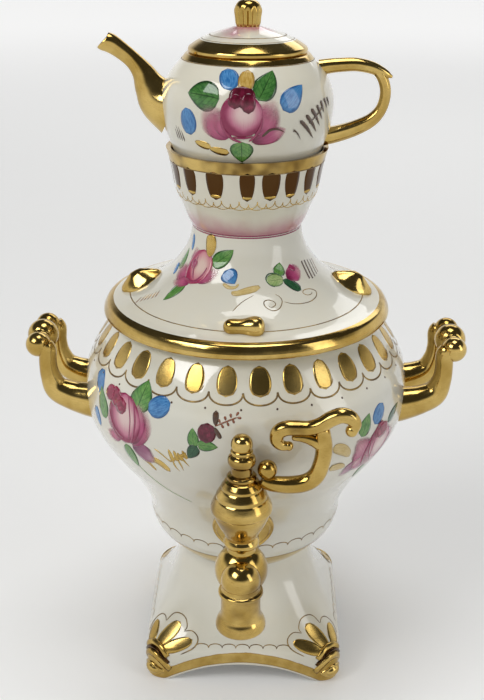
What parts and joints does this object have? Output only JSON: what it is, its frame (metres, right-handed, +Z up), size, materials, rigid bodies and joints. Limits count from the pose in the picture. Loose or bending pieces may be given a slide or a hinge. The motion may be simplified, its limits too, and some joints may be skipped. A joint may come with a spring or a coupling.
{
  "type": "porcelain samovar with teapot",
  "caption": "White and gold porcelain urn with a front tap, two side handles and a lift-off lid whose crown holds a small teapot.",
  "frame": {"origin": "on the table, on the axis of the urn, under the middle of the hollow pedestal", "axes": "+Z up along the urn's axis, -Y towards the tap and the front, +X to the right of someone facing the tap"},
  "size_m": [0.2946, 0.2552, 0.4498],
  "materials": {
    "glazed_porcelain": "clear gloss glaze, warm white, painted overglaze",
    "gilded_porcelain": "fired bright gold over the glaze",
    "gilded_brass": "bright gold plating",
    "zinc_steel": "zinc plated",
    "seal_rubber": "matt black"
  },
  "bodies": {
    "samovar": {"pedestal_skirt": "glazed_porcelain", "pedestal_shoulder": "glazed_porcelain", "foot_bosses": "gilded_porcelain", "urn_stem": "glazed_porcelain", "urn_body": "glazed_porcelain", "urn_shoulder": "glazed_porcelain", "left_handle_front_arm": "gilded_porcelain", "left_handle_rear_arm": "gilded_porcelain", "left_handle_grip": "gilded_porcelain", "right_handle_front_arm": "gilded_porcelain", "right_handle_rear_arm": "gilded_porcelain", "right_handle_grip": "gilded_porcelain", "tap_rosette": "gilded_brass", "tap_body": "gilded_brass", "tap_seal_washer": "seal_rubber", "tap_lock_nut": "zinc_steel"},
    "tap_key": {"tap_plug": "gilded_brass", "tap_finial": "gilded_brass", "tap_scroll_handle": "gilded_brass"},
    "lid": {"lid_dome": "glazed_porcelain", "lid_neck": "glazed_porcelain", "lid_bumps": "gilded_porcelain", "lid_lugs": "gilded_porcelain", "crown_cup": "glazed_porcelain"},
    "teapot": {"teapot_body": "glazed_porcelain", "teapot_shoulder": "glazed_porcelain", "teapot_spout": "gilded_porcelain", "teapot_handle": "gilded_porcelain"},
    "teapot_lid": {"teapot_lid": "glazed_porcelain", "teapot_lid_knob": "gilded_porcelain"}
  },
  "joints": [
    {"name": "tap_turn", "type": "hinge", "parent": "samovar", "child": "tap_key", "pos_m": [0, -0.12, 0.169], "axis": [0, 0, -1], "range_deg": [0, 180]},
    {"name": "lid_lift", "type": "slide", "parent": "samovar", "child": "lid", "axis": [0, 0, 1], "range_m": [0, 0.05]},
    {"name": "teapot_lift", "type": "slide", "parent": "lid", "child": "teapot", "axis": [0, 0, 1], "range_m": [0, 0.06]},
    {"name": "teapot_lid_lift", "type": "slide", "parent": "teapot", "child": "teapot_lid", "axis": [0, 0, 1], "range_m": [0, 0.03]}
  ]
}
